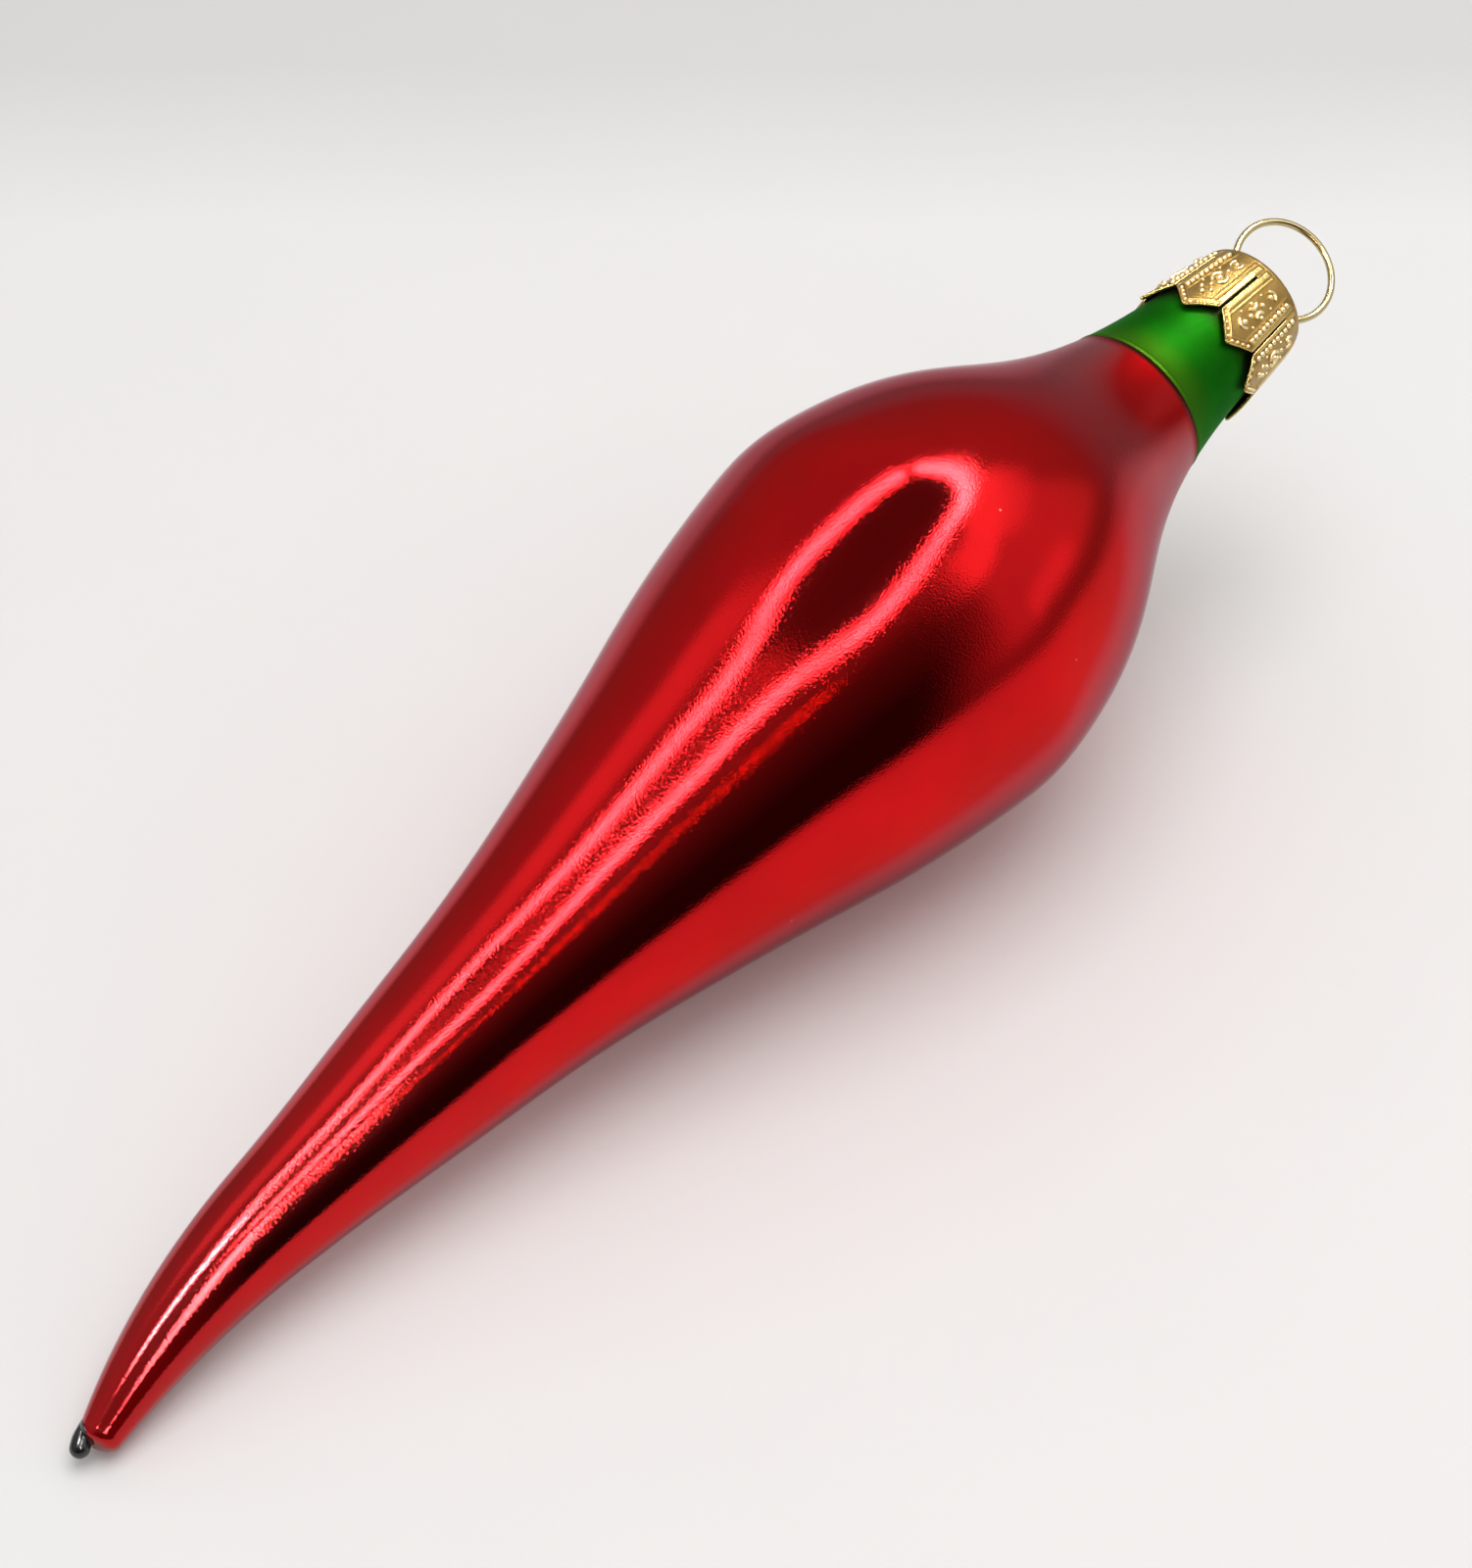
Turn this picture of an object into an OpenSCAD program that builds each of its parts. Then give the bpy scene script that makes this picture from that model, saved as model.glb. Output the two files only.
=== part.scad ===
// Chili ornament: a hollow blown glass body with lacquer coats, a stamped crown cap and a wire hanger.
// The body's own frame has the middle of the belly at its origin, the neck up and the tip down.
// It is then laid on its side: it rests on the belly and the tip, with the cap end to +X.

/* [Glass body] */
// Radius of the belly at its widest
belly_r = 18.1; // [16:0.1:20]
// Angle each way from the widest circle over which the belly is a ball
belly_band = 8; // [6:0.5:11]
// Distance along the neck from the mouth to the middle of the belly
belly_at = 46.6; // [43:0.1:50]
// Radius of the glass at the mouth
mouth_r = 5.15; // [5:0.05:5.25]
// Radius of the glass where the neck ends and the shoulder starts
neck_r = 5.5; // [5.3:0.05:5.8]
// Length of the neck, from the mouth to the start of the shoulder
neck_len = 7.2; // [6.6:0.1:8.5]
// How far the shoulder's upper end keeps to the neck's direction
shoulder_reach = 21.7; // [18:0.1:23]
// How much the shoulder widens over that reach
shoulder_rise = 2.2; // [1.6:0.1:3]
// How far the shoulder's lower end keeps to the belly's direction
shoulder_hold = 17.3; // [14:0.1:19]
// How far the taper's upper end keeps to the belly's direction
taper_hold = 23.3; // [19:0.1:27]
// Length of the taper, from the middle of the belly to the start of the bend
taper_len = 71; // [64:0.5:80]
// Radius of the taper where the bend starts
bend_r = 4.3; // [3.9:0.1:4.8]
// Narrowing of the taper per unit of length where the bend starts
taper_slope = 0.12; // [0.08:0.005:0.13]
// How far the taper's lower end keeps to that slope
taper_reach = 46.4; // [38:0.2:52]
// Length of the bent tip along its curve
tip_len = 19.6; // [17:0.2:23]
// Radius of the glass at the end of the tip
tip_r = 1.5; // [1.4:0.05:1.65]
// Length of the rounded end of the tip
tip_dome = 0.9; // [0.8:0.05:1.2]
// Angle through which the tip bends
tip_bend = 16; // [8:0.5:24]
// Angle by which the neck leans to the side that the tip bends to
neck_lean = 2; // [0.5:0.1:4]
// Direction of the bend around the body's axis
bend_roll = -63; // [-80:1:-40]
// Thickness of the glass
glass_wall = 0.8; // [0.7:0.05:0.9]

/* [Coats] */
// Thickness of the red and the green lacquer
coat = 0.1; // [0.08:0.01:0.12]
// Thickness of the silver lining
lining = 0.1; // [0.08:0.01:0.12]
// Gap between a coat and the glass
bond = 0.04; // [0.03:0.005:0.05]
// Distance from the mouth to the line where green ends and red starts
red_from = 16.3; // [15.2:0.1:19]
// Distance from the mouth to the upper edge of the green lacquer
green_from = 1.8; // [1.6:0.1:2.4]
// Distance from the mouth to the upper edge of the silver lining
lining_from = 17; // [16.6:0.1:20]

/* [Tip drop] */
// Radius of the black drop on the tip
drop_r = 0.75; // [0.7:0.05:0.85]
// Height of the drop's ball above its seat
drop_high = 0.6; // [0.5:0.05:0.65]
// Distance of the drop from the middle of the tip's end, on the outside of the bend
drop_side = 0.8; // [0.5:0.05:0.9]

/* [Crown cap] */
// Thickness of the cap's metal
cap_wall = 0.2; // [0.18:0.01:0.25]
// Gap between the cap and the coated neck
cap_fit = 0.06; // [0.05:0.01:0.1]
// Gap between the cap and the rim of the mouth
cap_rest = 0.05; // [0.04:0.01:0.08]
// Length of the skirt below the mouth
skirt_len = 9; // [8.3:0.1:9.5]
// How far the petal ends stand off the neck
petal_flare = 0.45; // [0.35:0.05:0.55]
// Radius of the rounded edge of the cap's top
cap_round = 0.65; // [0.5:0.05:0.7]
// Number of petals around the skirt
petals = 8; // [6:1:10]
// Width of the slit between two petals
slit_wide = 0.25; // [0.2:0.05:0.35]
// Height of the slit from the petal ends
slit_high = 7.2; // [6.6:0.1:7.4]
// Width of the notch between two petal ends
notch_wide = 4.6; // [4:0.1:4.7]
// Height of the notch from the petal ends
notch_high = 1.9; // [1.6:0.1:2.2]
// Turn of the first slit from the hanger's holes
slit_turn = 33.5; // [30:0.5:38]
// Turn of the cap and the hanger on the neck
cap_turn = 6; // [0:1:359]

/* [Hanger] */
// Thickness of the wire
wire_d = 0.65; // [0.55:0.05:0.75]
// Gap around the wire in the holes of the cap
hole_fit = 0.1; // [0.07:0.01:0.15]
// Distance of each leg from the neck's axis
leg_out = 2.4; // [2.2:0.05:2.6]
// Radius of the loop to the middle of the wire
loop_r = 4.65; // [4.4:0.05:5]
// Radius of the bend between a leg and the loop
elbow_r = 0.8; // [0.6:0.1:1]
// Height of the elbows above the mouth
elbow_at = 0.35; // [0.3:0.05:0.6]
// Depth of the straight legs below the mouth
leg_deep = 8; // [7.5:0.5:9]
// Angle by which the legs spread below that
spread_turn = 14; // [8:0.5:16]
// Length of the spread ends
spread_len = 4.5; // [3.5:0.5:5]
// Radius of the bend where the legs spread
spread_r = 1.5; // [1.2:0.1:2]
// Radius of the curl at each leg's end
curl_r = 1; // [0.8:0.1:1.2]
// Angle through which each leg's end curls in
curl_turn = 150; // [120:5:165]

/* [Hidden] */
$fn = 64;
// Steps along the shoulder, the taper and the tip, and sides around the tip
shoulder_steps = 14;
taper_steps = 22;
tip_steps = 8;
tip_sides = 36;
// The ball is a hair larger than the ends of shoulder and taper, so that their edges sink into it
ball_lift = 0.03;
// How far the tip starts inside the taper, how much narrower it is there, and the angle of its rounded end
tip_sink = 0.5;
tip_ease = 0.02;
dome_turn = 50;
// How far a bend of the wire sinks into its neighbours, and how much thinner it is
joint_sink = 0.05;
joint_ease = 0.01;
// How far a cut runs past what it cuts, and the widths of the blocks that end the coats
cut_past = 2;
cut_wide = 4.5 * belly_r;
tip_cut = 4 * (tip_r + tip_dome);
// Height above the green edge at which the inside of the cap clears it
ease_high = 0.3;
// Radius at the middle of the belly of what fills the neck's and the taper's ends
core_r = 0.8 * belly_r;
skin = bond + coat;
band_r = belly_r * cos(belly_band);
band_z = belly_r * sin(belly_band);
wire_r = wire_d / 2;
// Radius of the arc that the tip's axis follows, and where that axis ends
arc_r = tip_len * 180 / (PI * tip_bend);
tip_x = arc_r * (1 - cos(tip_bend));
tip_z = taper_len + arc_r * sin(tip_bend);
// The elbow angle at which leg, elbow and loop share their directions
elbow_turn = acos((leg_out + elbow_r) / (elbow_r + loop_r));
loop_at = elbow_at + (elbow_r + loop_r) * sin(elbow_turn);
// Where a leg's spread end starts and ends
spread_x = leg_out + spread_r * (1 - cos(spread_turn));
spread_z = -leg_deep - spread_r * sin(spread_turn);
leg_end_x = spread_x + spread_len * sin(spread_turn);
leg_end_z = spread_z - spread_len * cos(spread_turn);

// A point on a curve with two ends and two handles
function curve(a, b, c, d, t) =
    pow(1 - t, 3) * a + 3 * t * pow(1 - t, 2) * b + 3 * t * t * (1 - t) * c + pow(t, 3) * d;

// Shoulder from the neck to the ball, as radius and height
function shoulder(grow) =
    [for (i = [0 : shoulder_steps])
        let (t = i / shoulder_steps)
        [curve(neck_r, neck_r + shoulder_rise,
               band_r - shoulder_hold * sin(belly_band), band_r, t) + grow,
         curve(belly_at - neck_len, belly_at - neck_len - shoulder_reach,
               band_z + shoulder_hold * cos(belly_band), band_z, t)]];

// Taper from the ball to the start of the bend, as radius and height
function taper(grow) =
    [for (i = [0 : taper_steps])
        let (t = i / taper_steps)
        [curve(band_r, band_r - taper_hold * sin(belly_band),
               bend_r + taper_slope * taper_reach, bend_r, t) + grow,
         curve(-band_z, -band_z - taper_hold * cos(belly_band), taper_reach - taper_len, -taper_len, t)]];

// Radius along the tip, from 0 at the bend's start to 1 at its end
function tip_radius(t) =
    bend_r - taper_slope * tip_len * t - (bend_r - taper_slope * tip_len - tip_r) * pow(t, 3);

// Radius of the neck at a depth below the mouth
function neck_at(depth) = mouth_r + (neck_r - mouth_r) * depth / neck_len;

// Height of the belly's middle over a floor that the belly touches, at a given tilt
function lift(tilt) =
    max(belly_r, max([for (p = taper(0)) p[0] * cos(tilt) - p[1] * sin(tilt)]));

// Tilt at which the tip touches the same floor, found in a few rounds
function settle(tilt, rounds) =
    rounds == 0 ? tilt
    : settle(asin((lift(tilt) - tip_r - tip_x * cos(bend_roll) * cos(tilt)) / tip_z), rounds - 1);

rest_tilt = settle(10, 8);
neck_reach = cos(neck_lean) * cos(rest_tilt) + sin(neck_lean) * cos(bend_roll) * sin(rest_tilt);
hang_reach = neck_reach * (belly_at + loop_at) + loop_r + wire_r;
tip_reach = tip_z * cos(rest_tilt) - tip_x * cos(bend_roll) * sin(rest_tilt)
            + tip_dome + drop_high + drop_r;

// Lays the body on its side on the floor, with the bounds' middle over the origin
module lying() {
    translate([(tip_reach - hang_reach) / 2, 0, lift(rest_tilt) + skin])
        rotate([0, 90 - rest_tilt, 0])
            rotate([0, 0, bend_roll])
                children();
}

// The neck's frame: the middle of the mouth, with the neck's axis up
module on_neck() {
    rotate([0, neck_lean, 0])
        translate([0, 0, belly_at])
            children();
}

// The frame of the tip's end, with the way out of the tip down
module at_tip() {
    translate([tip_x, 0, -tip_z])
        rotate([0, -tip_bend, 0])
            children();
}

// Neck and shoulder, filled, grown from the glass's outside, with the neck carried on past the mouth
module neck_solid(grow, past) {
    rotate([0, neck_lean, 0])
        rotate_extrude()
            polygon(concat([[0, belly_at + past], [mouth_r + grow, belly_at + past]],
                           [[mouth_r + grow, belly_at]],
                           shoulder(grow), [[core_r, 0], [0, 0]]));
}

// Taper, filled, grown from the glass's outside
module taper_solid(grow) {
    rotate_extrude()
        polygon(concat([[0, 0], [core_r, 0]], taper(grow), [[0, -taper_len]]));
}

// One ring of the tip: its radius, its place along the arc and how far it lies past that place
function tip_ring(radius, angle, past) =
    [for (k = [0 : tip_sides - 1])
        let (a = 360 * k / tip_sides, across = radius * cos(a))
        [arc_r * (1 - cos(angle)) + across * cos(angle) + past * sin(angle),
         radius * sin(a),
         -taper_len - arc_r * sin(angle) + across * sin(angle) - past * cos(angle)]];

// Bent tip, filled, grown from the glass's outside, with a rounded end
module tip_solid(grow) {
    body_rings = [for (i = [1 : tip_steps])
        tip_ring(tip_radius(i / tip_steps) + grow, tip_bend * i / tip_steps, 0)];
    end_rings = [for (a = [dome_turn / 2, dome_turn])
        tip_ring((tip_r + grow) * cos(a), tip_bend, (tip_dome + grow) * sin(a) / sin(dome_turn))];
    start_ring = tip_ring(bend_r + grow - tip_ease, 0, -tip_sink);
    rings = concat([start_ring], body_rings, end_rings);
    last = len(rings) - 1;
    points = [for (r = rings) each r];
    sides = [for (i = [0 : last - 1], k = [0 : tip_sides - 1])
        let (n = (k + 1) % tip_sides, low = i * tip_sides, high = low + tip_sides)
        each [[low + k, high + n, high + k], [low + k, low + n, high + n]]];
    start_face = [for (k = [tip_sides - 1 : -1 : 0]) k];
    end_face = [for (k = [0 : tip_sides - 1]) last * tip_sides + k];
    polyhedron(points = points, faces = concat([start_face], sides, [end_face]));
}

// The whole body, filled, grown from the glass's outside
module body_solid(grow, past = 0) {
    sphere(r = belly_r + grow + ball_lift);
    neck_solid(grow, past);
    taper_solid(grow);
    tip_solid(grow);
}

// Everything above a depth below the mouth
module above(depth) {
    on_neck()
        translate([-cut_wide / 2, -cut_wide / 2, -depth])
            cube(cut_wide);
}

// Hollow glass body, open at the mouth
module glass_shell() {
    color([0.86, 0.9, 0.88, 0.5])
        lying()
            difference() {
                body_solid(0);
                body_solid(-glass_wall, cut_past);
            }
}

// Silver lining on the inside of the belly and the taper
module silver_lining() {
    color([0.82, 0.83, 0.85])
        lying()
            difference() {
                body_solid(-glass_wall - bond);
                body_solid(-glass_wall - bond - lining);
                above(lining_from);
            }
}

// Red lacquer on the outside, from the green edge to the end of the tip
module red_lacquer() {
    color([0.75, 0.02, 0.03])
        lying()
            difference() {
                body_solid(skin);
                body_solid(bond);
                above(red_from);
                at_tip()
                    translate([-tip_cut / 2, -tip_cut / 2, -tip_cut])
                        cube(tip_cut);
            }
}

// Green lacquer on the outside of the neck, from under the cap to the red edge
module green_lacquer() {
    color([0.05, 0.45, 0.06])
        lying()
            difference() {
                neck_solid(skin, 0);
                neck_solid(bond, cut_past);
                above(green_from);
                on_neck()
                    translate([-cut_wide / 2, -cut_wide / 2, -cut_wide - red_from + bond])
                        cube(cut_wide);
            }
}

// Black drop that seals the end of the tip
module tip_drop() {
    color([0.03, 0.03, 0.03])
        lying()
            at_tip()
                translate([-drop_side, 0, -tip_dome - bond])
                    difference() {
                        translate([0, 0, -drop_high])
                            sphere(r = drop_r);
                        translate([-cut_past, -cut_past, 0])
                            cube(2 * cut_past);
                    }
}

// Inside radius of the cap at a depth below the mouth
function cap_in(depth) = neck_at(depth) + cap_fit + (depth >= green_from ? skin : 0);

// Section of the cap from its axis outwards
module cap_section() {
    top = cap_rest + cap_wall;
    edge = cap_in(0) + cap_wall;
    rounded = [for (a = [90 : -15 : 0])
        [edge - cap_round + cap_round * cos(a), top - cap_round + cap_round * sin(a)]];
    polygon(concat([[0, cap_rest], [0, top]], rounded,
                   [[cap_in(green_from) + cap_wall, -green_from],
                    [cap_in(skirt_len) + petal_flare + cap_wall, -skirt_len],
                    [cap_in(skirt_len) + petal_flare, -skirt_len],
                    [cap_in(green_from), -green_from + ease_high],
                    [cap_in(0), cap_rest]]));
}

// Slit and notch between two petals, as cut through one side of the skirt
module petal_gap() {
    translate([0, 0, -skirt_len])
        rotate([90, 0, 90])
            linear_extrude(height = cut_wide / 2)
                polygon([[-notch_wide / 2, -cut_past], [-notch_wide / 2, 0], [-slit_wide / 2, notch_high],
                         [-slit_wide / 2, slit_high], [slit_wide / 2, slit_high],
                         [slit_wide / 2, notch_high], [notch_wide / 2, 0], [notch_wide / 2, -cut_past]]);
}

// Stamped cap with a petalled skirt and two holes for the wire
module crown_cap() {
    color([0.83, 0.66, 0.3])
        lying()
            on_neck()
                rotate([0, 0, cap_turn])
                    difference() {
                        rotate_extrude()
                            cap_section();
                        for (k = [0 : petals - 1])
                            rotate([0, 0, slit_turn + 360 * k / petals])
                                petal_gap();
                        for (s = [-1, 1])
                            translate([s * leg_out, 0, -cut_past])
                                cylinder(r = wire_r + hole_fit, h = 2 * cut_past);
                    }
}

// A length of wire bent through an angle, from the X axis round Z
module wire_bend(radius, angle, thick) {
    rotate_extrude(angle = angle)
        translate([radius, 0])
            circle(r = thick);
}

// A bend between two lengths of wire, a hair thinner, with its ends sunk into them
module wire_joint(radius, angle) {
    sunk = joint_sink * 180 / (PI * radius);
    rotate([0, 0, -sunk])
        wire_bend(radius, angle + 2 * sunk, wire_r - joint_ease);
}

// Elbow, leg, spread end and curl on the positive side
module hanger_leg() {
    translate([leg_out + elbow_r, 0, elbow_at])
        rotate([90, 0, 180])
            wire_joint(elbow_r, elbow_turn);
    translate([leg_out, 0, -leg_deep])
        cylinder(r = wire_r, h = leg_deep + elbow_at);
    translate([leg_out + spread_r, 0, -leg_deep])
        rotate([-90, 0, 180])
            wire_joint(spread_r, spread_turn);
    translate([leg_end_x, 0, leg_end_z])
        rotate([0, -spread_turn, 0])
            cylinder(r = wire_r, h = spread_len);
    translate([leg_end_x - curl_r * cos(spread_turn), 0, leg_end_z - curl_r * sin(spread_turn)])
        rotate([-90, 0, 0])
            rotate([0, 0, -spread_turn])
                wire_joint(curl_r, curl_turn);
}

// Wire loop with two legs that go down through the cap into the neck
module hanger_wire() {
    color([0.85, 0.72, 0.42])
        lying()
            on_neck()
                rotate([0, 0, cap_turn]) {
                    translate([0, 0, loop_at])
                        rotate([90, 0, 0])
                            rotate([0, 0, -elbow_turn])
                                wire_bend(loop_r, 180 + 2 * elbow_turn, wire_r);
                    hanger_leg();
                    rotate([0, 0, 180])
                        hanger_leg();
                }
}

glass_shell();
silver_lining();
red_lacquer();
green_lacquer();
tip_drop();
crown_cap();
hanger_wire();
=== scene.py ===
import math

import bmesh
import bpy
from mathutils import Matrix, Vector


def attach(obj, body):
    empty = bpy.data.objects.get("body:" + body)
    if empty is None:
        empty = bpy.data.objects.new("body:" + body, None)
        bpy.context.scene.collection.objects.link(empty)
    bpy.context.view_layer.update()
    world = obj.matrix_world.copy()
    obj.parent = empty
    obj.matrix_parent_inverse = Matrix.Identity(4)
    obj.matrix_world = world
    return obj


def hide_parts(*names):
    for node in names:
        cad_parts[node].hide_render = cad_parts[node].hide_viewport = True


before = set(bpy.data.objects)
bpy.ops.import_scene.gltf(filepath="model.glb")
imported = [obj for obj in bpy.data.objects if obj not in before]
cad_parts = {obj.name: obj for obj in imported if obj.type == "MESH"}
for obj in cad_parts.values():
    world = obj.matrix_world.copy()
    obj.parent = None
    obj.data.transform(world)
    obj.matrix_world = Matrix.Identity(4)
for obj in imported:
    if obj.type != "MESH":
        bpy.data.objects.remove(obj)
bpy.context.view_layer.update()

# Glass body
# One thin tube of clear glass, blown into a long chili with a round belly and a drawn, bent tip.
# The neck stays open at the mouth, where its fire-polished lip sits under the cap.
MM = 0.001
belly_r = 18.1
belly_band = math.radians(8)
belly_at = 46.6
mouth_r = 5.15
neck_r = 5.5
neck_len = 7.2
shoulder_reach = 21.7
shoulder_rise = 2.2
shoulder_hold = 17.3
taper_hold = 23.3
taper_len = 71
bend_r = 4.3
taper_slope = 0.12
taper_reach = 46.4
tip_len = 19.6
tip_r = 1.5
tip_dome = 0.9
tip_bend = math.radians(16)
neck_lean = math.radians(2)
bend_roll = math.radians(-63)
rest_tilt = math.radians(9.849)
rest_at = Vector((17.683, 0, 18.31))
glass_wall = 0.8
bond = 0.04
coat = 0.1
skin = bond + coat
band_r = belly_r * math.cos(belly_band)
band_z = belly_r * math.sin(belly_band)
arc_r = tip_len / tip_bend
tip_end = -taper_len - tip_len
round_steps = 192
neck_rows, shoulder_rows, belly_rows, taper_rows, tip_rows = 9, 44, 8, 70, 28
even_rounds = 8

# Unevenness from the blowing: waves as height, count round, slope along and start, and long ripples
waves = ((0.0011, 2, 0.11, 0.6), (0.0007, 3, -0.19, 2.1))
ripple_high = 0.06
ripple_rate = 0.2575
ripple_shift = 38
ripple_in = (16, 26)
ripple_out = (74, 66)

# From the body's own frame in millimetres, with the neck up, to the part lying on the table
lying = (
    Matrix.Translation(rest_at * MM)
    @ Matrix.Rotation(math.pi / 2 - rest_tilt, 4, "Y")
    @ Matrix.Rotation(bend_roll, 4, "Z")
    @ Matrix.Scale(MM, 4)
)


def handle_curve(a, b, c, d, t):
    """A point on a curve with two ends and two handles."""
    s = 1 - t
    return s**3 * a + 3 * t * s * s * b + 3 * t * t * s * c + t**3 * d


def curve_rows(radii, heights, rows):
    """Points along a curve, from its ends and handles, without the last one."""
    return [tuple(handle_curve(*ends, k / rows) for ends in (radii, heights)) for k in range(rows)]


def tip_radius(t):
    """Radius along the tip, from 0 where the bend starts to 1 at the end."""
    straight = taper_slope * tip_len
    return bend_r - straight * t - (bend_r - straight - tip_r) * t**3


def blown_outline():
    """Radius and height of the glass from the mouth to the tip's end, with the tip straight."""
    neck_z = belly_at - neck_len
    hold_in, hold_along = math.sin(belly_band), math.cos(belly_band)
    shoulder = (
        (neck_r, neck_r + shoulder_rise, band_r - shoulder_hold * hold_in, band_r),
        (neck_z, neck_z - shoulder_reach, band_z + shoulder_hold * hold_along, band_z),
    )
    taper = (
        (band_r, band_r - taper_hold * hold_in, bend_r + taper_slope * taper_reach, bend_r),
        (-band_z, -band_z - taper_hold * hold_along, taper_reach - taper_len, -taper_len),
    )
    line = [
        (mouth_r + (neck_r - mouth_r) * k / neck_rows, belly_at - neck_len * k / neck_rows)
        for k in range(neck_rows)
    ]
    line += curve_rows(*shoulder, shoulder_rows)
    for k in range(belly_rows):
        turn = belly_band * (1 - 2 * k / belly_rows)
        line.append((belly_r * math.cos(turn), belly_r * math.sin(turn)))
    line += curve_rows(*taper, taper_rows)
    line += [
        (tip_radius(k / tip_rows), -taper_len - tip_len * k / tip_rows) for k in range(tip_rows + 1)
    ]
    # A few rounds of evening out take the faint kinks from where the curves meet
    for _ in range(even_rounds):
        even = [
            tuple((a + 2 * b + c) / 4 for a, b, c in zip(line[k - 1], line[k], line[k + 1]))
            for k in range(1, len(line) - 1)
        ]
        line = [line[0], *even, line[-1]]
    return line


outline = blown_outline()


def outline_between(top, bottom, grow):
    """The outline between two heights, with its ends on them, grown outwards."""
    part = []
    for (r0, z0), (r1, z1) in zip(outline, outline[1:]):
        for height in (top, bottom):
            if z1 < height < z0:
                part.append((r0 + (r1 - r0) * (z0 - height) / (z0 - z1) + grow, height))
        if bottom <= z1 <= top:
            part.append((r1 + grow, z1))
    if abs(top - belly_at) < 1e-6:
        part.insert(0, (mouth_r + grow, belly_at))
    return sorted(set(part), key=lambda p: -p[1])


def dome(radius, height, start, steps=8):
    """A rounded end from a ring to the axis, as radius and height."""
    turns = [math.pi / 2 * k / steps for k in range(1, steps + 1)]
    return [(radius * math.cos(a), start - height * math.sin(a)) for a in turns]


def all_of(made):
    """Everything a mesh in work is made of."""
    return [*made.verts, *made.edges, *made.faces]


def spun(line, closed=False, steps=round_steps):
    """Spins an outline of radius and height round the axis into a closed skin."""
    made = bmesh.new()
    along = made.verts.layers.float.new("along")
    ring = []
    for radius, height in line:
        vert = made.verts.new((max(radius, 0), 0, height))
        vert[along] = belly_at - height
        ring.append(vert)
    edges = [made.edges.new(pair) for pair in zip(ring, ring[1:])]
    if closed:
        edges.append(made.edges.new((ring[-1], ring[0])))
    # One eighth is spun, and then laid round seven more times
    eighth = math.pi / 4
    bmesh.ops.spin(
        made, geom=ring + edges, cent=(0, 0, 0), axis=(0, 0, 1), angle=eighth, steps=steps // 8
    )
    bmesh.ops.spin(
        made, geom=all_of(made), cent=(0, 0, 0), axis=(0, 0, 1), angle=7 * eighth, steps=7,
        use_duplicate=True,
    )
    bmesh.ops.remove_doubles(made, verts=made.verts, dist=1e-4)
    bmesh.ops.recalc_face_normals(made, faces=made.faces)
    return made


def share_of(value, start, end):
    """How far a value is on the way from a start to an end, from 0 to 1."""
    return min(max((value - start) / (end - start), 0), 1)


def rise(value, start, end):
    """A soft step from 0 to 1."""
    share = share_of(value, start, end)
    return share * share * (3 - 2 * share)


def hand_blown(made):
    """Gives a spun skin the faint unevenness of blown glass, leans the neck and bends the tip."""
    for vert in made.verts:
        x, y, z = vert.co
        turn = math.atan2(y, x)
        swell = sum(
            high * math.sin(count * turn + slope * z + start) for high, count, slope, start in waves
        )
        ripple = ripple_high * share_of(-z, *ripple_in) * share_of(-z, *ripple_out)
        swell += ripple * math.sin(ripple_rate * (z + ripple_shift)) / max(math.hypot(x, y), 1)
        x, y = x * (1 + swell), y * (1 + swell)
        if z < -taper_len:
            f = min((-taper_len - z) / arc_r, tip_bend)
            past = max(-taper_len - z - tip_len, 0)
            x, z = (
                arc_r * (1 - math.cos(f)) + x * math.cos(f) + past * math.sin(f),
                -taper_len - arc_r * math.sin(f) + x * math.sin(f) - past * math.cos(f),
            )
        elif z > -band_z:
            lean = neck_lean * rise(z, -band_z, band_z)
            x, z = x * math.cos(lean) + z * math.sin(lean), z * math.cos(lean) - x * math.sin(lean)
        vert.co = (x, y, z)


def as_object(made, name, finish):
    """Makes a finished mesh an object of the scene."""
    mesh = bpy.data.meshes.new(name)
    made.to_mesh(mesh)
    made.free()
    mesh.materials.append(finish)
    piece = bpy.data.objects.new(name, mesh)
    bpy.context.scene.collection.objects.link(piece)
    return piece


def put_together(made, name, finish, body, slot, *nodes, place=lying):
    """Makes a finished mesh a piece of the part: in its place, on its body and for its nodes."""
    made.transform(place)
    for face in made.faces:
        face.smooth = True
    piece = as_object(made, name, finish)
    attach(piece, body)
    if nodes:
        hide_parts(*nodes)
    return piece


def fill(tree, socket, value):
    """Links an input to another node's output, or sets it to a plain value."""
    if isinstance(value, bpy.types.NodeSocket):
        tree.links.new(value, socket)
    else:
        socket.default_value = value


def feed(tree, node, **inputs):
    """Fills a node's inputs by their names."""
    for name, value in inputs.items():
        fill(tree, node.inputs[name.replace("_", " ")], value)


def new_finish(name, **sockets):
    """A material whose plain values are set on the shader's own sockets."""
    made = bpy.data.materials.new(name)
    made.use_nodes = True
    shader = made.node_tree.nodes["Principled BSDF"]
    feed(made.node_tree, shader, **sockets)
    return made, made.node_tree, shader


def add_node(tree, kind, settings=None, **inputs):
    """Adds a node, sets its options and fills or links its inputs by name."""
    made = tree.nodes.new(kind)
    for option, value in (settings or {}).items():
        setattr(made, option, value)
    feed(tree, made, **inputs)
    return made


def noise(tree, place, scale, detail):
    """A cloudy pattern of values between 0 and 1."""
    made = add_node(tree, "ShaderNodeTexNoise", Vector=place, Scale=scale, Detail=detail)
    return made.outputs["Fac"]


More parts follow.
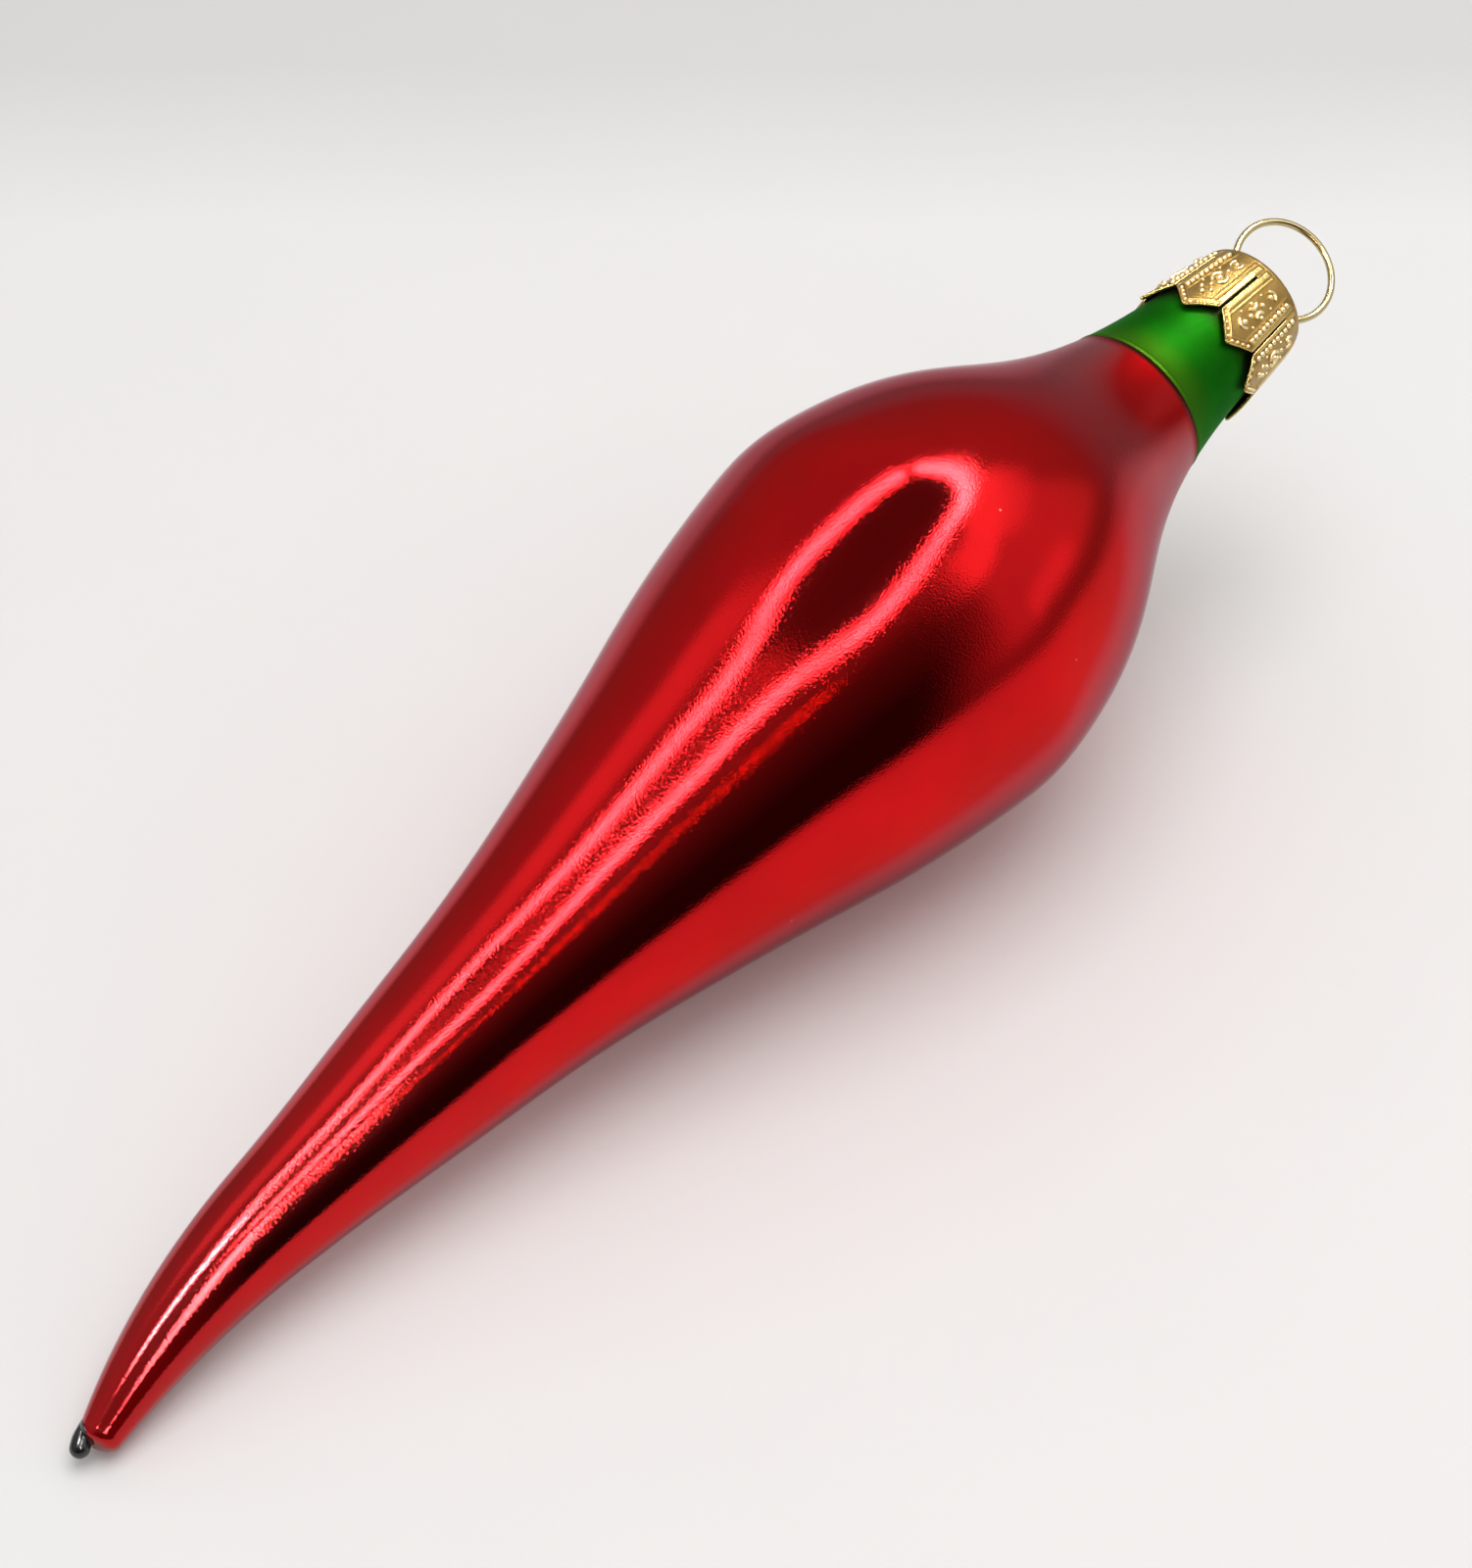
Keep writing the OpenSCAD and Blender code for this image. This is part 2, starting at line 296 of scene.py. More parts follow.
def bumps(tree, height, distance, strength=1.0):
    """A fine relief on the surface, from a pattern of heights."""
    made = add_node(tree, "ShaderNodeBump", Strength=strength, Distance=distance, Height=height)
    return made.outputs["Normal"]


def ramp(tree, value, *stops):
    """A colour ramp over a value, with its stops as place and colour."""
    made = add_node(tree, "ShaderNodeValToRGB", Fac=value)
    band = made.color_ramp
    while len(band.elements) < len(stops):
        band.elements.new(0.5)
    for element, (place, colour) in zip(band.elements, stops):
        element.position = place
        element.color = (*colour, 1)
    return made.outputs["Color"]


def spread(tree, value, low, high, to_low, to_high):
    """Carries a value from one range to another."""
    made = add_node(
        tree, "ShaderNodeMapRange", Value=value,
        From_Min=low, From_Max=high, To_Min=to_low, To_Max=to_high,
    )
    return made.outputs["Result"]


def object_place(tree):
    """Where a point is in the object's own frame."""
    return add_node(tree, "ShaderNodeTexCoord").outputs["Object"]


glass_finish, tree, shader = new_finish(
    "clear_blown_glass", Base_Color=(0.93, 0.97, 0.95, 1), Transmission_Weight=1.0, IOR=1.5
)
streaks = noise(tree, object_place(tree), 380.0, 3.0)
feed(
    tree, shader, Roughness=spread(tree, streaks, 0.3, 0.7, 0.02, 0.09),
    Normal=bumps(tree, streaks, 0.00002, 0.2),
)

lip_r = glass_wall / 2
lip_deep = 0.45
lip = [
    (mouth_r - lip_r + lip_r * math.cos(a), belly_at - lip_r + lip_r * math.sin(a))
    for a in (math.pi * k / 10 for k in range(11))
]
outer = outline_between(belly_at - lip_deep, tip_end, 0)
inner = outline_between(belly_at - lip_deep, tip_end, -glass_wall)
glass_line = dome(tip_r, tip_dome, tip_end)[::-1] + outer[::-1] + lip + inner
glass_line += dome(tip_r - glass_wall, tip_dome - glass_wall / 2, tip_end)
glass = spun(glass_line)
hand_blown(glass)
put_together(glass, "glass_body", glass_finish, "glass", "glass", "glass_shell")

# Silver lining
# A film of silver, poured into the body as a liquid and dried on the inside of the glass.
# It stops short of the neck, and makes the red outside shine like metal.
lining = 0.1
lining_from = 17
lining_dome = 0.3
lining_dome_inside = 0.2
silver_dull = (0.62, 0.62, 0.64)
silver_clear = (0.9, 0.9, 0.92)

silver_finish, tree, shader = new_finish("poured_silver", Metallic=1.0)
pour = noise(tree, object_place(tree), 260.0, 5.0)
feed(
    tree, shader, Base_Color=ramp(tree, pour, (0.3, silver_dull), (0.7, silver_clear)),
    Roughness=spread(tree, pour, 0.3, 0.7, 0.1, 0.28),
)

lining_out = -glass_wall - bond
top = belly_at - lining_from
silver_line = dome(tip_r + lining_out, lining_dome, tip_end)[::-1]
silver_line += outline_between(top, tip_end, lining_out)[::-1]
silver_line += outline_between(top, tip_end, lining_out - lining)
silver_line += dome(tip_r + lining_out - lining, lining_dome_inside, tip_end)
silver = spun(silver_line, steps=96)
hand_blown(silver)
put_together(silver, "silver_lining", silver_finish, "glass", "silver", "silver_lining")

# Red lacquer
# Clear red dip lacquer over the silvered glass, from a sharp line on the neck down to the tip.
# It dried glossy with a fine grain, is satin near the neck, and gathered thick and bright at the tip.
red_from = 16.3
red_deep = (0.58, 0.0006, 0.0026)
red_bright = (0.69, 0.0009, 0.0038)
red_shade_below_lip = (0.06, 0.022, 0.004)
red_thin = (0.19, 0.14, 0.1)
red_painted_sheen = (0.52, 0.37, 0.38)
red_dust = (0.7, 0.2, 0.2)
red_grain = 0.0000095
red_end = belly_at - tip_end


def effect(name, inputs, outputs):
    """An empty group of nodes with named inputs and outputs, for an effect that finishes share."""
    made = bpy.data.node_groups.new(name, "ShaderNodeTree")
    for socket, kind, value in inputs:
        made_socket = made.interface.new_socket(socket, in_out="INPUT", socket_type=kind)
        if value is not None:
            made_socket.default_value = value
    for socket, kind in outputs:
        made.interface.new_socket(socket, in_out="OUTPUT", socket_type=kind)
    return made, made.nodes.new("NodeGroupInput").outputs, made.nodes.new("NodeGroupOutput").inputs


def use_effect(tree, group, **inputs):
    """Puts a shared effect into a finish, and fills or links its inputs."""
    return add_node(tree, "ShaderNodeGroup", {"node_tree": group}, **inputs).outputs


def combine(tree, operation, *values, clamp=False):
    """One sum on values that are plain numbers or come from other nodes."""
    made = add_node(tree, "ShaderNodeMath", {"operation": operation, "use_clamp": clamp})
    for socket, value in zip(made.inputs, values):
        fill(tree, socket, value)
    return made.outputs["Value"]


def mixed(tree, share, first, second):
    """Two colours mixed, by the share of the second."""
    first, second = (
        tone if isinstance(tone, bpy.types.NodeSocket) else (*tone, 1) for tone in (first, second)
    )
    made = add_node(tree, "ShaderNodeMix", {"data_type": "RGBA"}, Factor=share, A=first, B=second)
    return made.outputs["Result"]


def scaled(tree, tone, level):
    """A colour made darker or brighter."""
    made = add_node(tree, "ShaderNodeVectorMath", {"operation": "SCALE"}, Vector=tone, Scale=level)
    return made.outputs["Vector"]


def levels(tree, value, *stops):
    """A ramp of plain levels over a value, with its stops as place and level."""
    return ramp(tree, value, *((place, (level,) * 3) for place, level in stops))


def vertex_value(tree, name):
    """A value that the mesh carries at its points."""
    return add_node(tree, "ShaderNodeAttribute", {"attribute_name": name}).outputs["Fac"]


# Grain of dried lacquer: a fine grit, and a slow swell like orange peel
lacquer_grain, given, gives = effect(
    "lacquer_grain",
    [
        ("Place", "NodeSocketVector", None),
        ("Grit Scale", "NodeSocketFloat", 4000.0),
        ("Peel Scale", "NodeSocketFloat", 500.0),
        ("Peel Share", "NodeSocketFloat", 0.5),
    ],
    [("Height", "NodeSocketFloat"), ("Grit", "NodeSocketFloat")],
)
grit = noise(lacquer_grain, given["Place"], given["Grit Scale"], 2.0)
peel = noise(lacquer_grain, given["Place"], given["Peel Scale"], 1.0)
swell = combine(lacquer_grain, "MULTIPLY", peel, given["Peel Share"])
lacquer_grain.links.new(combine(lacquer_grain, "ADD", grit, swell), gives["Height"])
lacquer_grain.links.new(grit, gives["Grit"])

# Dust that dried into the lacquer: a few pale specks, far apart
dust_specks, given, gives = effect(
    "dust_specks",
    [
        ("Place", "NodeSocketVector", None),
        ("Scale", "NodeSocketFloat", 220.0),
        ("Size", "NodeSocketFloat", 0.04),
        ("Share", "NodeSocketFloat", 0.12),
    ],
    [("Mask", "NodeSocketFloat")],
)
cells = add_node(dust_specks, "ShaderNodeTexVoronoi", Vector=given["Place"], Scale=given["Scale"])
pick = add_node(dust_specks, "ShaderNodeSeparateColor", Color=cells.outputs["Color"])
near = combine(dust_specks, "LESS_THAN", cells.outputs["Distance"], given["Size"])
few = combine(dust_specks, "LESS_THAN", pick.outputs["Red"], given["Share"])
dust_specks.links.new(combine(dust_specks, "MULTIPLY", near, few), gives["Mask"])

red_finish, tree, shader = new_finish(
    "red_dip_lacquer", Coat_Roughness=0.1, Coat_IOR=1.5,
    Sheen_Weight=0.08, Sheen_Roughness=0.25, Sheen_Tint=(0.9, 0.7, 0.72, 1),
    Specular_Tint=(0.55, 0.2, 0.24, 1),
)
place = object_place(tree)
from_mouth = vertex_value(tree, "along")
slant = add_node(tree, "ShaderNodeLayerWeight", Blend=0.5).outputs["Facing"]

# The red is faintly cloudy, with dust in it, has a brown band of painted shade just below the green's
# raised lip, and is thin at the tip's end
red = ramp(tree, noise(tree, place, 90.0, 3.0), (0.35, red_deep), (0.65, red_bright))
red = mixed(tree, use_effect(tree, dust_specks, Place=place)["Mask"], red, red_dust)
# Painted shade: a dark brown band on the red, in the groove just below the green's lip
edge = spread(tree, from_mouth, red_from + 0.25, red_from + 0.75, 0.85, 0.0)
red = mixed(tree, edge, red, red_shade_below_lip)
run_off = spread(tree, from_mouth, red_end + 0.6, red_end + 1.0, 0.0, 0.95)
red = mixed(tree, run_off, red, red_thin)
# The red is darker near the neck, and darker towards the tip's end as painted shade for the shadowed
# table that the tip reflects
depth = spread(tree, from_mouth, 18, 138, 0, 1)
red = scaled(tree, red, levels(tree, depth, (0.0, 0.6), (0.13, 1.0), (0.8, 1.0), (0.93, 0.72)))

# Painted sheen: the base colour turns mauve where the coat is seen at a slant, standing in for the pale
# reflection at the rims; most of it on the shoulder and none along the green's edge
neck_painted_sheen = spread(tree, slant, 0.44, 0.8, 0.0, 0.85)
neck_painted_sheen = combine(tree, "MULTIPLY", neck_painted_sheen, spread(tree, from_mouth, 24, 40, 1.0, 0.0))
painted_sheen = combine(tree, "MAXIMUM", spread(tree, slant, 0.5, 0.92, 0.0, 1.0), neck_painted_sheen)
past_edge = spread(tree, from_mouth, red_from + 0.3, red_from + 1.2, 0.0, 1.0)
red = mixed(tree, combine(tree, "MULTIPLY", painted_sheen, past_edge), red, red_painted_sheen)

satin = spread(tree, from_mouth, 10, 34, 0, 1)
satin = levels(tree, satin, (0.25, 0.36), (0.5, 0.24), (0.75, 0.12), (1.0, 0.07))
gathered = spread(tree, from_mouth, 60, 135, 0, 1)
gathered = levels(tree, gathered, (0.0, 0.2), (0.4, 0.24), (0.65, 0.36), (0.9, 0.4))
glossy = combine(tree, "MAXIMUM", gathered, spread(tree, slant, 0.5, 0.95, 0.1, 0.22))
grain = use_effect(
    tree, lacquer_grain, Place=place, Grit_Scale=6200.0, Peel_Scale=420.0, Peel_Share=0.1
)
relief = bumps(tree, grain["Height"], red_grain)
feed(
    tree, shader, Base_Color=red, Metallic=spread(tree, from_mouth, 122, 132, 1.0, 0.75),
    Roughness=satin, Coat_Weight=glossy, Normal=relief, Coat_Normal=relief,
)

top = belly_at - red_from
red_line = outline_between(top, tip_end, skin)
red_line += dome(tip_r + skin, tip_dome + skin, tip_end, 16)[:-1]
red_line += dome(tip_r + bond, tip_dome + bond, tip_end, 16)[-2::-1]
red_line += outline_between(top, tip_end, bond)[::-1]
red_coat = spun(red_line, closed=True)
hand_blown(red_coat)
put_together(red_coat, "red_lacquer_coat", red_finish, "glass", "red", "red_lacquer")

# Green lacquer
# A satin coat of green lacquer brushed round the neck for the stalk, from under the cap to the red.
# Its lower edge dried as a fine raised lip over the line where the red starts.
green_from = 1.8
lip_wide = 0.5
lip_high = 0.05
lip_full = 1.15
edge_round = 0.05
edge_in = 0.04
edge_low = 0.03
leaf_deep = (0.004, 0.1, 0.0012)
leaf_bright = (0.006, 0.135, 0.0018)
leaf_thin = (0.055, 0.14, 0.004)
leaf_shade_under_cap = (0.012, 0.009, 0.003)
green_grain = 0.000003

green_finish, tree, shader = new_finish(
    "green_satin_lacquer", Metallic=1.0, Coat_Weight=0.04, Coat_Roughness=0.32, Coat_IOR=1.5,
    Sheen_Weight=0.05, Sheen_Roughness=0.4, Sheen_Tint=(0.85, 0.95, 0.87, 1),
    Specular_Tint=(0.3, 0.6, 0.3, 1),
)
place = object_place(tree)
from_mouth = vertex_value(tree, "along")
leaf = ramp(tree, noise(tree, place, 300.0, 4.0), (0.3, leaf_deep), (0.7, leaf_bright))
leaf = mixed(tree, spread(tree, from_mouth, 12.8, 16.0, 0.0, 0.65), leaf, leaf_thin)
# Painted shade: the green turns almost black under the cap's petals
leaf = mixed(tree, spread(tree, from_mouth, 7.4, 9.0, 0.92, 0.0), leaf, leaf_shade_under_cap)
grain = use_effect(
    tree, lacquer_grain, Place=place, Grit_Scale=3600.0, Peel_Scale=600.0, Peel_Share=2.0
)
feed(
    tree, shader, Base_Color=leaf, Roughness=spread(tree, grain["Grit"], 0.3, 0.7, 0.46, 0.56),
    Normal=bumps(tree, grain["Height"], green_grain),
)

top, low = belly_at - green_from, belly_at - red_from
green_line = [(outline_between(top, low, skin)[0][0] - edge_round, top)]
green_line += outline_between(top - edge_round, low + lip_wide, skin)
for k in range(9):
    share = k / 8
    radius, height = outline_between(low + lip_wide * (1 - share), low - 1, skin)[0]
    swell = math.sin(math.pi * min(share * lip_full, 1)) ** 2
    green_line.append((radius + lip_high * swell, height))
green_line.append((green_line[-1][0] - edge_in, low - edge_low))
green_line += outline_between(top, low, bond)[::-1]
green = spun(green_line, closed=True)
hand_blown(green)
put_together(green, "green_lacquer_coat", green_finish, "glass", "green", "green_lacquer")

# Tip drop
# Where the drawn tip was melted off, a bead of glass is left, dipped in black.
# It sits to the outside of the bend, with a short tail that runs up onto the tip.
drop_r = 0.75
drop_high = 0.6
drop_side = 0.8
soot_deep = (0.003, 0.003, 0.004)
soot_pale = (0.014, 0.012, 0.014)

black_finish, tree, shader = new_finish(
    "black_dipped_bead", Coat_Weight=0.3, Coat_Roughness=0.2, Coat_IOR=1.5
)
smoke = noise(tree, object_place(tree), 900.0, 3.0)
feed(
    tree, shader, Base_Color=ramp(tree, smoke, (0.35, soot_deep), (0.7, soot_pale)),
    Roughness=spread(tree, smoke, 0.3, 0.7, 0.08, 0.22),
)


def join_shape(whole, made):
    """Adds a finished shape to a larger one."""
    mesh = bpy.data.meshes.new("shape")
    made.to_mesh(mesh)
    made.free()
    whole.from_mesh(mesh)
    bpy.data.meshes.remove(mesh)


# The bead's own frame has the way out of the tip down, and its tail narrows up onto the tip
tip_frame = (
    Matrix.Translation(
        (arc_r * (1 - math.cos(tip_bend)), 0, -taper_len - arc_r * math.sin(tip_bend))
    )
    @ Matrix.Rotation(-tip_bend, 4, "Y")
)
bead_at = Vector((-drop_side, 0, -tip_dome - bond - drop_high))
tail_to = Vector((-1.45, 0, 0.4))
tail_way = tail_to - bead_at
drop_line = [
    (0, 2.65), (0.12, 2.5), (0.22, 2.2), (0.42, 1.65), (0.63, 1.05), (0.71, 0.7), (0.74, 0.35),
]
round_off = [math.pi * k / 12 for k in range(-6, 1)]
drop_line += [(drop_r * math.cos(a), drop_r * math.sin(a)) for a in round_off[::-1]]
bead = spun(drop_line, steps=40)
bmesh.ops.smooth_vert(
    bead, verts=bead.verts, factor=0.3, use_axis_x=True, use_axis_y=True, use_axis_z=True
)
tail_turn = tail_way.to_track_quat("Z", "Y").to_matrix().to_4x4()
bead.transform(Matrix.Translation(bead_at) @ tail_turn)

# The dip left a thin skin on the outside of the bend, with a slanting edge
dip_high = 2.3
dip_coat = skin + 0.03
dip_edge = (Vector((-0.75, 0, -0.75)), Vector((-1.85, 0, 0.35)))
dip_line = [(0, tip_end + dip_high), *outline_between(tip_end + dip_high, tip_end, dip_coat)]
dip_line += dome(tip_r + dip_coat, tip_dome + dip_coat, tip_end)
dip = spun(dip_line, steps=96)
hand_blown(dip)
dip.transform(tip_frame.inverted())
edge_way = dip_edge[1] - dip_edge[0]
bmesh.ops.bisect_plane(
    dip, geom=all_of(dip), plane_co=dip_edge[0], plane_no=(edge_way.z, 0, -edge_way.x),
    clear_outer=True,
)
bmesh.ops.holes_fill(dip, edges=dip.edges, sides=0)
bmesh.ops.recalc_face_normals(dip, faces=dip.faces)
join_shape(bead, dip)
put_together(bead, "tip_drop", black_finish, "glass", "black", "tip_drop", place=lying @ tip_frame)

# Crown cap
# Stamped from one disc of thin brass and gilded: a domed top, and a skirt slit into eight petals.
# The petals have raised borders, rows of beads and small scrolls, and spring against the coated neck.
cap_wall = 0.2
cap_fit = 0.06
cap_rest = 0.05
skirt_len = 9
petal_flare = 0.45
cap_round = 0.65
petals = 8
slit_wide = 0.25
slit_high = 7.2
notch_wide = 4.6
notch_high = 1.9
slit_turn = math.radians(33.5)
cap_turn = math.radians(6)
wire_r = 0.325
hole_fit = 0.1
leg_out = 2.4
columns = 44
skirt_rows = 92
petal_step = 2 * math.pi / petals
gilt_pale = (0.7, 0.49, 0.17)
gilt_deep_and_shade = (0.31, 0.185, 0.046)
rim_high = 0.12
ridge_high = 0.08
groove_deep = 0.05
plain_border = 0.6

# The neck's frame: the middle of the mouth, with the neck's axis up, turned as the cap sits
on_neck = (
    lying
    @ Matrix.Rotation(neck_lean, 4, "Y")
    @ Matrix.Translation((0, 0, belly_at))
    @ Matrix.Rotation(cap_turn, 4, "Z")
)


def neck_at(down):
    """Radius of the coated neck, with the cap's fit and sheet on it, at a distance below the mouth."""
    return mouth_r + (neck_r - mouth_r) * down / neck_len + skin + cap_fit + cap_wall


cap_top = cap_rest + cap_wall
cap_edge = mouth_r + cap_fit + cap_wall
cap_mid = neck_at(green_from)
cap_end = neck_at(skirt_len) + petal_flare
skirt_top = cap_round - cap_top


def skirt_radius(down):
    """Outside radius of the skirt at a distance below the mouth."""
    if down < green_from:
        return cap_edge + (cap_mid - cap_edge) * (down - skirt_top) / (green_from - skirt_top)
    return cap_mid + (cap_end - cap_mid) * (down - green_from) / (skirt_len - green_from)


def petal_half(down):
    """Half the width of a petal at a distance below the mouth."""
    full = petal_step / 2 * skirt_radius(down)
    from_end = skirt_len - down
    if from_end > slit_high:
        return full - slit_wide / 4
    if from_end > notch_high:
        return full - slit_wide / 2
    return full - slit_wide / 2 - (notch_wide - slit_wide) / 2 * (1 - from_end / notch_high)


def beaded_side(petal):
    """Which side of a petal carries the row of beads: borders at every other slit are beaded."""
    return 1 if petal % 2 else -1


def on_petal(petal, across, down, high):
    """A point of a petal's face, from its distance across, its depth below the mouth and its height."""
    radius = skirt_radius(down)
    turn = slit_turn + petal_step * (petal + 0.5) + across / radius
    return Vector(((radius + high) * math.cos(turn), (radius + high) * math.sin(turn), -down))


def band(value, start, full, fade, end):
    """A soft band: up from 0 to 1, along, and down again."""
    return rise(value, start, full) * (1 - rise(value, fade, end))


def stamped(petal, across, down):
    """Height of the stamped relief on a petal's face."""
    notch_run = (notch_wide - slit_wide) / 2 / notch_high
    from_slit = petal_step / 2 * skirt_radius(down) - slit_wide / 2 - abs(across)
    from_point = from_slit + (skirt_len - down - notch_high) * notch_run
    from_point /= math.hypot(1, notch_run)
    rim = 1 - rise(min(from_slit, from_point), 0.1, 0.2)
    line = band(from_point, 0.58, 0.64, 0.7, 0.76)
    if across * beaded_side(petal) < 0:
        border = 1 - rise(from_slit, 0.56, 0.64)
        groove = band(from_slit, 0.58, 0.66, 0.7, 0.78)
        ridge = band(from_slit, 0.72, 0.8, 0.88, 0.96)
    else:
        border = plain_border * (1 - rise(from_slit, 0.4, 0.48))
        groove = band(from_slit, 0.42, 0.5, 1.04, 1.12)
        ridge = band(from_slit, 1.08, 1.14, 1.2, 1.26)
    inside = rise(from_point, 0.5, 0.64)
    high = max(rim_high * rim, rim_high * border * inside, ridge_high * max(ridge * inside, line))
    if down < skirt_len - slit_high:
        high *= rise(from_slit, -0.06, 0.1)
    return rise(down, 0.45, 0.7) * (high - groove_deep * groove * inside)


def rim_of(made):
    """The edges of a circle that was just drawn."""
    return list(dict.fromkeys(e for v in made["verts"] for e in v.link_edges))


cap = bmesh.new()
raised_by = cap.verts.layers.float.new("raised")
cap_line = [(cap_edge - cap_round, cap_top)]
cap_line += [
    (cap_edge - cap_round * (1 - math.sin(a)), cap_top - cap_round * (1 - math.cos(a)))
    for a in (math.pi / 2 * k / 8 for k in range(1, 8))
]
cap_line += [
    (0, -skirt_top - (skirt_len - skirt_top) * (k / skirt_rows)) for k in range(skirt_rows + 1)
]
ring = [cap.verts.new((max(radius, 1), 0, height)) for radius, height in cap_line]
edges = [cap.edges.new(pair) for pair in zip(ring, ring[1:])]
lines = columns + 1
bmesh.ops.spin(
    cap, geom=ring + edges, cent=(0, 0, 0), axis=(0, 0, 1),
    angle=2 * math.pi, steps=petals * lines, use_merge=True,
)
gap_faces = []
for face in cap.faces:
    middle = face.calc_center_median()
    slot_at = math.atan2(middle.y, middle.x) / (2 * math.pi) * petals * lines % lines
    if slot_at > columns and -middle.z > skirt_len - slit_high:
        gap_faces.append(face)
bmesh.ops.delete(cap, geom=gap_faces, context="FACES")
for vert in cap.verts:
    x, y, z = vert.co
    step = round(math.atan2(y, x) / (2 * math.pi) * petals * lines) % (petals * lines)
    petal, column = divmod(step, lines)
    down = -z
    if down < skirt_top - 1e-4:
        share = (column - columns / 2) / lines
        turn = slit_turn + petal_step * (petal + 0.5 + share)
        radius = math.hypot(x, y)
        vert.co = (radius * math.cos(turn), radius * math.sin(turn), z)
        continue
    across = petal_half(down) * (2 * column / columns - 1)
    high = stamped(petal, across, down)
    vert.co = on_petal(petal, across, down, high)
    vert[raised_by] = high
top_rim = [e for e in cap.edges if e.is_boundary and all(v.co.z > cap_top - 1e-4 for v in e.verts)]
hole_rims = []
for side in (-1, 1):
    hole_rims += rim_of(
        bmesh.ops.create_circle(
            cap, segments=24, radius=wire_r + hole_fit,
            matrix=Matrix.Translation((side * leg_out, 0, cap_top)),
        )
    )
bmesh.ops.triangle_fill(cap, use_beauty=True, edges=top_rim + hole_rims, normal=(0, 0, 1))
bmesh.ops.recalc_face_normals(cap, faces=cap.faces)

# Worn gilding: paler and smoother where it is rubbed, and browner in the hollows as painted shade
gilt_wear_and_shade, given, gives = effect(
    "gilt_wear_and_shade",
    [
        ("Place", "NodeSocketVector", None),
        ("Scale", "NodeSocketFloat", 700.0),
        ("Pale", "NodeSocketColor", (*gilt_pale, 1)),
        ("Deep", "NodeSocketColor", (*gilt_deep_and_shade, 1)),
        ("Raised", "NodeSocketFloat", 0.5),
    ],
    [("Color", "NodeSocketColor"), ("Rub", "NodeSocketFloat")],
)
mottle = noise(gilt_wear_and_shade, given["Place"], given["Scale"], 6.0)
rub_and_shade = combine(gilt_wear_and_shade, "MULTIPLY_ADD", mottle, 0.8, given["Raised"], clamp=True)
gilt_wear_and_shade.links.new(mixed(gilt_wear_and_shade, rub_and_shade, given["Deep"], given["Pale"]), gives["Color"])
gilt_wear_and_shade.links.new(rub_and_shade, gives["Rub"])


def gilded(name, pale, deep, raised, rough, pitted):
    """Gilded brass, paler where the stamping stands proud, and browner in its hollows as painted shade.
    """
    made, tree, shader = new_finish(name, Metallic=1.0)
    place = object_place(tree)
    if raised is None:
        # Painted shade: the hollows of the stamping, read from the sheet's raised heights, take the
        # deep tone
        raised = spread(tree, vertex_value(tree, "raised"), -0.04, 0.1, -0.5, 0.45)
    gilt_tone = use_effect(
        tree, gilt_wear_and_shade, Place=place, Raised=raised, Pale=(*pale, 1), Deep=(*deep, 1)
    )
    feed(
        tree, shader, Base_Color=gilt_tone["Color"],
        Roughness=spread(tree, gilt_tone["Rub"], 0.0, 1.0, rough + 0.1, rough),
        Normal=bumps(tree, noise(tree, place, 3200.0, 3.0), pitted, 0.6),
    )
    return made


cap_piece = put_together(
    cap, "crown_cap", gilded("gilded_sheet", gilt_pale, gilt_deep_and_shade, None, 0.24, 0.00004),
    "cap", "cap_metal", "crown_cap", place=on_neck,
)
sheet = cap_piece.modifiers.new("sheet", "SOLIDIFY")
sheet.thickness = cap_wall * MM
sheet.offset = -1

# Beads, dots and scrolls of the stamping, raised from the petals' faces
bead_r = 0.25
bead_pitch = 0.6
bead_in = 0.76
bead_from = 1.15
beads_in_row = 10
end_bead_r = 0.16
end_bead_pitch = 0.42
end_bead_in = 0.52
end_bead_from = 0.5
end_beads = 4
scroll_shift = 0.15

# Painted highlight: the beads and scrolls take a paler, lit copy of the sheet's gilding
relief_lit_pale = (1.0, 0.86, 0.52)
relief_lit_deep = (0.78, 0.58, 0.24)

ornament = bmesh.new()


def raise_bead(petal, across, down, radius):
    """One round bead, half sunk into the petal's face."""
    ball = bmesh.new()
    at = on_petal(petal, across, down, radius * 0.05)
    bmesh.ops.create_uvsphere(
        ball, u_segments=10, v_segments=7, radius=radius, matrix=Matrix.Translation(at)
    )
    join_shape(ornament, ball)


def raise_scroll(petal, across, down, bend, start, turn, thick):
    """One arc of a scroll: a rod that swings round a middle on the petal's face."""
    rod = bmesh.new()
    swung_out = Matrix.Rotation(start, 4, "Z") @ Matrix.Translation((bend, 0, 0))
    upright = Matrix.Rotation(math.pi / 2, 4, "X")
    made = bmesh.ops.create_circle(rod, segments=8, radius=thick, matrix=swung_out @ upright)
    bmesh.ops.spin(rod, geom=rim_of(made), cent=(0, 0, 0), axis=(0, 0, 1), angle=turn, steps=12)
    bmesh.ops.holes_fill(rod, edges=rod.edges, sides=8)
    bmesh.ops.recalc_face_normals(rod, faces=rod.faces)
    for vert in rod.verts:
        vert.co = on_petal(petal, across + vert.co.x, down + vert.co.y, vert.co.z + thick * 0.2)
    join_shape(ornament, rod)


